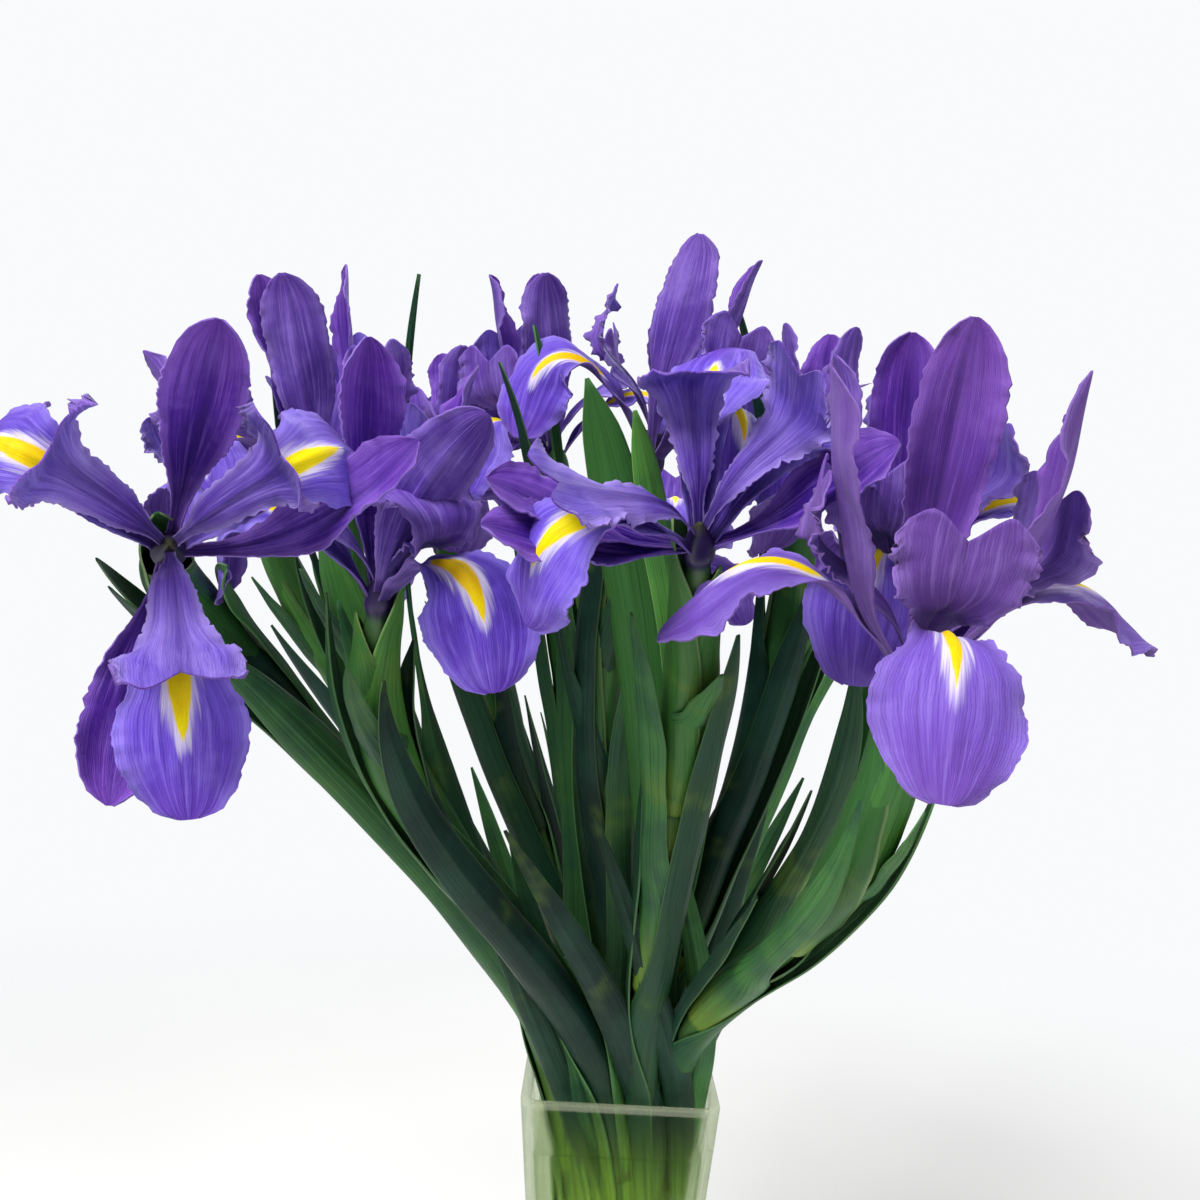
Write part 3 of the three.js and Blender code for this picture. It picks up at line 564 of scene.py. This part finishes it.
# leaves that rise past the flowers: root as a share of the way from rim to top, tip, heading and half-width
tallLeaves = {
    "centre_front": ((0.25, (-22, -112, 428), 250, 8.6), (0.5, (-9, -118, 419), 300, 5.2)),
    "left_high": ((0.3, (-73, -84, 461), 300, 1.5),),
    "left_back": ((0.55, (-124, -56, 453), 330, 2.6),),
    "top_centre": ((0.5, (-44, -128, 428), 200, 2.8), (0.6, (-38, -92, 446), 160, 2.2)),
    "right_back": ((0.5, (22, -56, 467), 200, 2.6),),
}

# narrow leaves that cross the rim, in front and at the back: points from the water to the tip, half-width
rimLeaves = {
    "left_front": (((-5, -18, 161), (-18, -26, 198), (-35, -46, 243), (-51, -66, 284)), 4.4),
    "mid_left": (((1, -14, 159), (-12, -25, 195), (-23, -36, 235), (-40, -54, 290)), 5.0),
    "centre_front": (((14, -18, 162), (8, -27, 198), (-9, -50, 243), (-40, -82, 300)), 6.2),
    "right_front": (((22, -17, 162), (20, -26, 199), (9, -46, 239), (-14, -76, 305)), 5.2),
    "right_high": (((20, -12, 160), (24, -22, 196), (25, -36, 237), (11, -54, 296)), 5.4),
    "back_right": (((12, 10, 150), (20, 24, 198), (40, 42, 240), (72, 60, 300)), 5.6),
    "back_left": (((-12, 10, 150), (-20, 24, 198), (-40, 46, 240), (-66, 70, 296)), 5.6),
    "back_middle": (((2, 12, 150), (2, 26, 198), (4, 50, 240), (14, 84, 300)), 6.0),
}


def leafSurface(path, leaf, seed):
    # the root wraps the stem as a sheath, then the blade opens and leaves it
    half, fold, lifted = leaf["half"], leaf["fold"], leaf["lift"]
    outward = Vector((math.cos(math.radians(leaf["heading"])), math.sin(math.radians(leaf["heading"])), 0))

    def surface(t, v, side):
        point, direction = path["at"](leaf["start"] + leaf["length"] * t)
        away = (outward - direction * outward.dot(direction)).normalized()
        across = direction.cross(away)
        turned = math.radians(leaf["twist"] * t * t)
        wide = across * math.cos(turned) + away * math.sin(turned)
        out = away * math.cos(turned) - across * math.sin(turned)
        reach, bend = half(t) * (1 + 0.03 * wobble(t * 9, v, seed)), fold(t)
        radius = reach / bend * (1 + 0.05 * v)  # one margin passes over the other
        turn = v * bend
        ends = 1 - step(0.82, 0.98, t)
        ripple = 0.5 * wobble(t * 7, v * 1.2, seed + 1) * step(0.2, 0.6, t) * ends
        keel = 0.5 * math.exp(-(v / 0.12) ** 2) * step(0.15, 0.4, t) * ends
        middle = point + away * lifted(t)
        return (middle + out * (radius * (math.cos(turn) - 1) + ripple + keel)
                + wide * radius * math.sin(turn) - up * leaf["droop"] * t ** 3), reach * v

    return surface


def leavesOf(name, iris, path, number):
    at, room = iris[0], path["length"] - path["rim"]
    draw = random.Random(101 + 37 * number)
    outwards = math.degrees(math.atan2(at[1], at[0]))
    leaves = []
    for startShare, endShare, heading, half, longer in leafPlan["each"]:
        start = path["rim"] + leafPlan["firstAboveRim"] + startShare * room
        wide = half * draw.uniform(0.92, 1.08) * leafPlan["slim"].get(name, 1)
        end = path["rim"] + endShare * room * draw.uniform(0.94, 1.06)
        spread = draw.uniform(4, 12)
        length = end - start
        clasp = (leafPlan["clasp"] * draw.uniform(0.85, 1.25) + longer) / length
        opened = min(clasp + 0.2, 0.66)
        leaves.append({
            "start": start, "length": length, "clasp": clasp,
            "half": smooth([(0, 15), (clasp, 15.5), (opened, wide * 1.15), (0.76, wide * 0.92),
                            (0.9, wide * 0.5), (1, 0.4)]),
            "fold": smooth([(0, 3.05), (clasp, 2.6), (opened, 1.15), (0.8, 0.8), (1, 0.4)]),
            "lift": lambda t, c=clasp, s=spread: leafPlan["sheath"] + 1.6 * step(c, c + 0.2, t)
            + s * step(c * 0.8, 1.15, t) ** 1.3,
            "heading": outwards + heading + draw.uniform(-12, 12),
            "droop": draw.uniform(0, 3), "twist": draw.uniform(-35, 35),
        })
    return leaves


def tallPath(path, root, tip):
    # a midline that leaves the stem along the stem's own direction and bends to the tip
    start, direction = path["at"](path["rim"] + root * (path["length"] - path["rim"]))
    tip = Vector(tip)
    length = (tip - start).length
    bend = start + direction * length / 2

    def at(s):
        q = s / length
        point = start * (1 - q) ** 2 + bend * 2 * q * (1 - q) + tip * q * q
        return point, ((bend - start) * (1 - q) + (tip - bend) * q).normalized()

    return {"length": length, "at": at}


def wayThrough(points):
    # a smooth midline through some points
    marks = [k / (len(points) - 1) for k in range(len(points))]
    axes = [smooth([(mark, point[axis]) for mark, point in zip(marks, points)]) for axis in range(3)]
    length = sum((Vector(b) - Vector(a)).length for a, b in zip(points, points[1:]))

    def at(s):
        q = min(max(s / length, 0.001), 0.999)
        here, ahead, behind = (Vector(axis(k) for axis in axes) for k in (q, q + 0.001, q - 0.001))
        return here, (ahead - behind).normalized()

    return {"length": length, "at": at}


def tallLeavesOf(name, path, number):
    draw = random.Random(301 + number)
    leaves = []
    if name in rimLeaves:
        points, half = rimLeaves[name]
        along = wayThrough(points)
        leaves.append((along, {
            "start": 0, "length": along["length"], "clasp": 0.1,
            "half": smooth([(0, 3), (0.18, half), (0.6, half * 0.96), (0.85, half * 0.6), (1, 0.4)]),
            "fold": smooth([(0, 1.4), (0.25, 0.9), (0.7, 0.7), (1, 0.4)]),
            "lift": lambda t: 0,
            "heading": 270 if points[1][1] < 0 else 90, "droop": 0, "twist": draw.uniform(-30, 30), "look": 1,
        }))
    for root, tip, heading, half in tallLeaves.get(name, ()):
        along = tallPath(path, root, tip)
        leaves.append((along, {
            "start": 0, "length": along["length"], "clasp": 0.2,
            "half": smooth([(0, 13), (0.2, 14), (0.4, half * 1.1), (0.75, half), (0.92, half * 0.66),
                            (1, 0.4)]),
            "fold": smooth([(0, 3.05), (0.2, 2.6), (0.4, 1.2), (0.8, 0.8), (1, 0.4)]),
            "lift": lambda t: leafPlan["sheath"] * (1 - step(0.3, 1, t)),
            "heading": heading, "droop": 0, "twist": draw.uniform(-25, 25), "look": 2 if half > 5 else 1,
        }))
    return leaves


def spathesOf(iris, path):
    start, turn = path["length"] - spathePlan["below"], iris[2]
    hug = smooth([(0, 5), (0.2, 5.7), (0.4, 6.6), (0.62, 6.2), (0.8, 5.4), (1, 5)])
    valves = []
    for offset, longer, heading, spread in ((0, 8, 60, 1.5), (7, -4, 240, 0.5)):
        valves.append({
            "start": start + offset, "length": spathePlan["below"] + stemPlan["neck"] + longer - offset,
            "clasp": 0.12,
            "half": smooth([(0, 14.6), (0.2, 15.8), (0.4, 16.2), (0.62, 14.2), (0.8, 10.4), (0.93, 5.2),
                            (1, 0.6)]),
            "fold": smooth([(0, 3), (0.2, 2.75), (0.4, 2.4), (0.62, 2.2), (0.8, 1.9), (0.93, 1.1), (1, 0.6)]),
            "lift": lambda t, s=spread: hug(t) + s * t ** 4,
            "heading": turn + heading, "droop": 0, "twist": 0,
        })
    return valves


def makeLeafyStem(name, iris, number, looks):
    path = paths[name]
    leaves, spathes = leavesOf(name, iris, path, number), spathesOf(iris, path)
    joints = [leaf["start"] for leaf in leaves[1:]] + [spathes[0]["start"]]
    rim, length = path["rim"], path["length"]

    def stem(t, around):
        s = t * length
        point, direction = path["at"](s)
        if s < rim:
            q = step(path["waist"], rim, s)
            foot, waist = stemPlan["footRadius"], stemPlan["waistRadius"]
            radius = foot + (waist - foot) * step(0, path["waist"], s)
            radius += (stemPlan["above"](0) - radius) * q
        else:
            radius = stemPlan["above"]((s - rim) / (length - rim))
        radius += sum(0.35 * math.exp(-((s - joint) / 2) ** 2) for joint in joints)
        radius *= 1 + 0.02 * math.cos(5 * around + s * 0.01)
        side = (Vector((1, 0, 0)) - direction * direction.x).normalized()
        front = direction.cross(side)
        return point + (side * math.cos(around) + front * math.sin(around)) * radius

    def build(bm):
        addTube(bm, stem, stemPlan["sides"], stemPlan["rows"], 0, (wobble(number * 1.7, 0, 2), number, 0))
        blades = [(path, leaf, leafPlan, 1) for leaf in leaves]
        blades += [(path, valve, spathePlan, 2) for valve in spathes]
        blades += [(along, leaf, leafPlan, leaf["look"]) for along, leaf in tallLeavesOf(name, path, number)]
        for index, (along, leaf, plan, look) in enumerate(blades):
            seed = 11 * number + index
            # painted shade: the leaves of the stems in the inner ring, deep in the bunch, are painted 0.4
            # darker
            shade = 0.5 + 0.9 * wobble(seed * 0.71, 3, 1) - (0.4 if iris[4] == "inner" else 0)
            addSheet(bm, leafSurface(along, leaf, seed), plan["columns"], plan["rows"], leafPlan["thickness"],
                     look, look, (min(max(shade, 0), 1), leaf["clasp"], look))

    return newPiece("leafyStem_" + name, build, looks, "leafy_stem_" + name)


leafFinish = {  # firm and waxy, so light goes less deep than in a petal
    "IOR": 1.42, "Specular IOR Level": 0.28,
    "Subsurface Weight": 0.06, "Subsurface Radius": (0.4, 1.0, 0.3), "Subsurface Scale": 0.0008,
}


def leafSkin(name, low, high, deep, shaded, margin, roughness):
    material, tree, skin = newMaterial(name, {**leafFinish, "Roughness": roughness})
    at, own, body = readPoint(tree)
    grid = addNode(tree, "CombineXYZ", sockets=(at[2], at[1], own[0])).outputs[0]

    # parallel veins, about 0.6 mm apart across a blade 14 mm wide, and patches about 30 mm across
    stretched = addNode(tree, "VectorMath", times, (grid, (12.0, 2.2, 13.0))).outputs[0]
    streaks = addNode(tree, "TexNoise", sockets={
        "Vector": stretched, "Scale": 1.0, "Detail": 3.0, "Roughness": 0.65}).outputs[0]
    clouds = addNode(tree, "TexNoise", sockets={
        "Vector": body, "Scale": 34.0, "Detail": 3.0, "Roughness": 0.6}).outputs[0]
    green = addNode(tree, "Mix", ofColour, {0: own[0], 6: linear(deep), 7: linear(high)}).outputs[2]
    green = painted(tree, green, (
        (clouds, 0.4, 0.7, 0.0, 0.7, shaded),
        (clouds, 0.42, 0.26, 0.0, 0.4, low),
        (streaks, 0.42, 0.7, 0.0, 0.5, deep),
    ))
    # yellow-green where it clasps the stem, and painted light between 196 and 150 mm up, where it enters the
    # water: a brighter green that makes up for the shade in the glass
    clasp = addNode(tree, "Math", {"operation": "DIVIDE"}, (at[1], own[1])).outputs[0]
    height = addNode(tree, "SeparateXYZ", sockets=(body,)).outputs[2]
    for masks, colour in (
            (((clasp, 0.0, 1.2, 0.9, 0.0), (own[0], 0.35, 0.9, 0.12, 1.0)), low),
            # painted light: a brighter yellow-green inside the glass
            (((height, 0.196, 0.15, 0.0, 0.85), (streaks, 0.65, 0.4, 0.4, 1.0)), "#9ab64a")):
        cover = addNode(tree, "Math", times, [
            addNode(tree, "MapRange", smoothly, mask).outputs[0] for mask in masks]).outputs[0]
        green = addNode(tree, "Mix", ofColour, {0: cover, 6: green, 7: linear(colour)}).outputs[2]
    sideways = addNode(tree, "Math", {"operation": "ABSOLUTE"}, (at[2],)).outputs[0]
    green = painted(tree, green, ((sideways, 0.93, 1.0, 0.0, 0.55, margin),))
    tree.links.new(green, skin.inputs["Base Color"])
    bump = addNode(tree, "Bump", sockets={"Height": streaks, "Strength": 0.7, "Distance": 0.0006})
    tree.links.new(bump.outputs[0], skin.inputs["Normal"])
    return material


greenLooks = [
    # a stem is smooth and waxy, mid green with a soft gloss
    leafSkin("stemSkin", "#7c9a3c", "#48783a", "#2f5c30", "#3c6a38", "#48783a", 0.42),
    # a blade is dark blue-green to fresh green from leaf to leaf, and painted shade makes the blades of the
    # inner stems darker; it is finely ribbed, with a paler margin
    leafSkin("leafBlade", "#708f34", "#437c3c", "#0f2c24", "#1e4a3a", "#5c8650", 0.4),
    # a spathe is fresher green, with a pale, papery margin
    leafSkin("spatheValve", "#7a9638", "#528a3c", "#265428", "#376a34", "#96ae74", 0.4),
]
for number, (name, iris) in enumerate(irises.items()):
    makeLeafyStem(name, iris, number, greenLooks)
print("leafy stems made:", len(irises))


def squarePoint(half, corner, angle):
    # a point round a square with round corners; angle in turns
    side, arc = 0.3, 0.4  # shares of a quarter turn: half a side, then the corner's arc
    quarter, q = divmod(angle * 4 % 4, 1)
    flat = half - corner
    if q < side:
        x, y = half, flat * (q / side)
    elif q > side + arc:
        x, y = flat * ((1 - q) / side), half
    else:
        bend = (q - side) / arc * math.pi / 2
        x, y = flat + corner * math.cos(bend), flat + corner * math.sin(bend)
    for _ in range(int(quarter)):
        x, y = -y, x
    return x, y


def addSquareShell(bm, rings):
    # a closed, smooth shell through square rings: half-width, height and the corner's radius
    around = 96
    made = bmesh.ops.create_grid(bm, x_segments=around, y_segments=len(rings) - 1, size=1, calc_uvs=True)
    for vert in made["verts"]:
        half, height, corner = rings[round((vert.co.y + 1) / 2 * (len(rings) - 1))]
        x, y = squarePoint(half, corner, (vert.co.x + 1) / 2 % 1)
        vert.co = Vector((x, y, height)) * mm
    bmesh.ops.remove_doubles(bm, verts=bm.verts, dist=1e-7)
    bmesh.ops.holes_fill(bm, edges=[edge for edge in bm.edges if edge.is_boundary], sides=around)
    bmesh.ops.recalc_face_normals(bm, faces=bm.faces)
    for face in bm.faces:
        face.smooth = True


def vaseRings():
    # from the middle of the underside, up outside, over the lip, down inside and to the middle of the floor
    height, wall, floor, half = (vase[part] for part in ("height", "wall", "floor", "halfWidth"))
    steps, flatUnder = 22, 22  # up each wall, and the half-width of the flat underside
    # how far inside the outer wall, and how high
    walls = [(1.5, 0), (0.6, 0.25), (0.12, 0.8), (0, 1.8)]
    walls += [(0, 8 + k * (height - 12) / steps) for k in range(steps + 1)]
    walls += [(0.0, height - 1.2), (0.25, height - 0.4), (0.8, height), (wall - 0.8, height),
              (wall - 0.25, height - 0.4), (wall, height - 1.2)]
    walls += [(wall, height - 4 - k * (height - floor - 12) / steps) for k in range(steps + 1)]
    walls += [(wall + 0.4, floor + 3), (wall + 1.6, floor + 0.9), (wall + 4, floor)]
    rings = [(share * flatUnder, 0.0) for share in (0.35, 0.7, 0.93)]
    rings += [(half(z / height) - inset, z) for inset, z in walls]
    inner = half(floor / height) - wall - 4
    rings += [(inner * share, floor) for share in (0.7, 0.35)]
    # a corner is as much tighter as its ring lies further in
    return [(width, z, min(max(vase["corner"] - (half(z / height) - width), 2.0), width * 0.8))
            for width, z in rings]


def lightThrough(tree, shader, tint, straight):
    # clear stuff hardly stops the light on its way to what stands inside or behind it; straight is the share
    # of every view through it that isn't bent
    clear = addNode(tree, "BsdfTransparent", sockets={"Color": linear(tint)})
    shadow = addNode(tree, "LightPath").outputs["Is Shadow Ray"]
    share = addNode(tree, "Math", larger, (shadow, straight)).outputs[0]
    mixed = addNode(tree, "MixShader", sockets=(share, shader.outputs[0], clear.outputs[0]))
    tree.links.new(mixed.outputs[0], tree.nodes["Material Output"].inputs["Surface"])


def makeVase():
    # clear pressed glass: hard reflections, slow waves about 45 mm long, and a painted pale green highlight
    # on the rim and the corners
    glass, tree, skin = newMaterial("sodaLimeGlass", {
        "Base Color": linear("#eff2e8"), "Roughness": 0.015, "Transmission Weight": 1.0,
        "IOR": 1.2,  # lower than the real 1.5, whose edges look black in a white room
    })
    body = addNode(tree, "TexCoord").outputs["Object"]
    waves = addNode(tree, "TexNoise", sockets={"Vector": body, "Scale": 22.0, "Detail": 1.0}).outputs[0]
    bump = addNode(tree, "Bump", sockets={"Height": waves, "Strength": 0.12, "Distance": 0.002})
    tree.links.new(bump.outputs[0], skin.inputs["Normal"])
    # the rim, from 2.5 mm below it up, and the corners get a painted highlight: a matt pale green that stands
    # in for the light that the edge of the glass catches
    at = addNode(tree, "SeparateXYZ", sockets=(body,)).outputs
    rim = vase["height"] * mm
    sides = [addNode(tree, "Math", {"operation": "ABSOLUTE"}, (at[axis],)).outputs[0] for axis in (0, 1)]
    less = addNode(tree, "Math", {"operation": "MINIMUM"}, sides).outputs[0]
    more = addNode(tree, "Math", larger, sides).outputs[0]
    corner = addNode(tree, "Math", {"operation": "DIVIDE"}, (less, more)).outputs[0]
    paintedGleam = addNode(tree, "Math", larger, [
        addNode(tree, "MapRange", smoothly, mask).outputs[0]
        for mask in ((at[2], rim - 0.0025, rim - 0.0018, 0.0, 0.6),
                     (corner, 0.82, 0.95, 0.0, 0.2))]).outputs[0]
    pale = addNode(tree, "BsdfDiffuse", sockets={"Color": linear("#cfd4ba")})
    withPaintedGleam = addNode(tree, "MixShader", sockets=(paintedGleam, skin.outputs[0], pale.outputs[0]))
    lightThrough(tree, withPaintedGleam, "#e6ebde", 0.55)
    return newPiece("glassVase", lambda bm: addSquareShell(bm, vaseRings()), [glass], "vase")


def makeWater():
    # from the middle of its underside, up along the glass, which it climbs a little, and in over its surface
    level, floor, wall, half = (vase[part] for part in ("waterLevel", "floor", "wall", "halfWidth"))
    steps = 18
    walls = [(floor + 0.3, -3.6), (floor + 1, -1.4), (floor + 3, -0.1)]
    walls += [(floor + 8 + k * (level - floor - 10) / steps, 0.15) for k in range(steps + 1)]
    rings = [(6, floor + 0.3)] + [(half(z / vase["height"]) - wall + past, z) for z, past in walls]
    top = half(level / vase["height"]) - wall
    rings += [(top + 0.15, level), (top + 0.1, level + 1.1), (top - 0.5, level + 0.5),
              (top - 1.4, level + 0.05), (top - 4, level - 0.1), (top * 0.5, level - 0.1)]
    rings = [(width, z, min(3.6, width * 0.5)) for width, z in rings]

    # still water: a bright, nearly flat surface, with ripples about 33 mm long, faintly green from the stems
    water, tree, skin = newMaterial("vaseWater", {
        "Base Color": linear("#e6eedb"), "Roughness": 0.0, "Transmission Weight": 1.0,
        "IOR": 1.2,  # lower than the real 1.33, for the same reason as the glass
    })
    body = addNode(tree, "TexCoord").outputs["Object"]
    ripples = addNode(tree, "TexNoise", sockets={"Vector": body, "Scale": 30.0, "Detail": 1.0}).outputs[0]
    bump = addNode(tree, "Bump", sockets={"Height": ripples, "Strength": 0.08, "Distance": 0.001})
    tree.links.new(bump.outputs[0], skin.inputs["Normal"])
    lightThrough(tree, skin, "#eef4e6", 0.5)
    return newPiece("vaseWater", lambda bm: addSquareShell(bm, rings), [water], "water")


makeVase()
makeWater()
print("vase and water made")


# a white floor and three soft lamps in a pale room
studio = {
    "floorSize": 6.0, "world": "#f9fafc", "roomLight": 0.36, "wallLight": 1.0,
    "lamps": (  # place, aim, size and power
        ("keyLamp", (-0.9, -1.2, 1.7), (0, 0, 0.35), 0.8, 50),
        ("fillLamp", (1.5, -1.0, 0.9), (0, 0, 0.33), 1.2, 10),
        ("backLamp", (0.5, 1.4, 1.5), (0, 0, 0.35), 1.2, 16),
    ),
}
floorMesh = bpy.data.meshes.new("floor")
bm = bmesh.new()
bmesh.ops.create_grid(bm, x_segments=8, y_segments=8, size=studio["floorSize"] / 2)
bm.to_mesh(floorMesh)
bm.free()
floor = bpy.data.objects.new("floor", floorMesh)
bpy.context.collection.objects.link(floor)
paint, tree, skin = newMaterial("palePaint", {"Roughness": 0.8})  # matt white paint, very slightly mottled
ground = addNode(tree, "TexCoord").outputs["Object"]
mottle = addNode(tree, "TexNoise", sockets={"Vector": ground, "Scale": 3.0, "Detail": 2.0}).outputs[0]
shades = addNode(tree, "ValToRGB", {"stops": ((0.3, "#e5e5e3"), (0.7, "#ebebe9"))}, (mottle,))
tree.links.new(shades.outputs[0], skin.inputs["Base Color"])
# the floor melts into the room's light between 0.35 and 1.1 m from the middle, so that no edge shows
distance = addNode(tree, "VectorMath", {"operation": "LENGTH"}, (ground,)).outputs["Value"]
away = addNode(tree, "MapRange", smoothly, (distance, 0.35, 1.1)).outputs[0]
nothing = addNode(tree, "BsdfTransparent")
melted = addNode(tree, "MixShader", sockets=(away, skin.outputs[0], nothing.outputs[0]))
tree.links.new(melted.outputs[0], tree.nodes["Material Output"].inputs["Surface"])
floorMesh.materials.append(paint)

world = bpy.data.worlds.new("studioWorld")
world.use_nodes = True
background = world.node_tree.nodes["Background"]
background.inputs["Color"].default_value = linear(studio["world"])
# the room is dimmer than the pale wall that is seen straight on or through the glass
tree = world.node_tree
rays = addNode(tree, "LightPath").outputs
seen = addNode(tree, "Math", larger, (rays["Is Camera Ray"], rays["Is Transmission Ray"])).outputs[0]
light = addNode(tree, "MapRange", sockets=(seen, 0.0, 1.0, studio["roomLight"], studio["wallLight"]))
tree.links.new(light.outputs[0], background.inputs["Strength"])
bpy.context.scene.world = world
bpy.context.scene.view_settings.view_transform = "Standard"
for name, at, aim, size, power in studio["lamps"]:
    lampData = bpy.data.lights.new(name, "AREA")
    lampData.energy, lampData.size = power, size
    lamp = bpy.data.objects.new(name, lampData)
    lamp.location = at
    lamp.rotation_euler = (Vector(aim) - Vector(at)).to_track_quat("-Z", "Y").to_euler()
    bpy.context.collection.objects.link(lamp)
print("floor and light set")
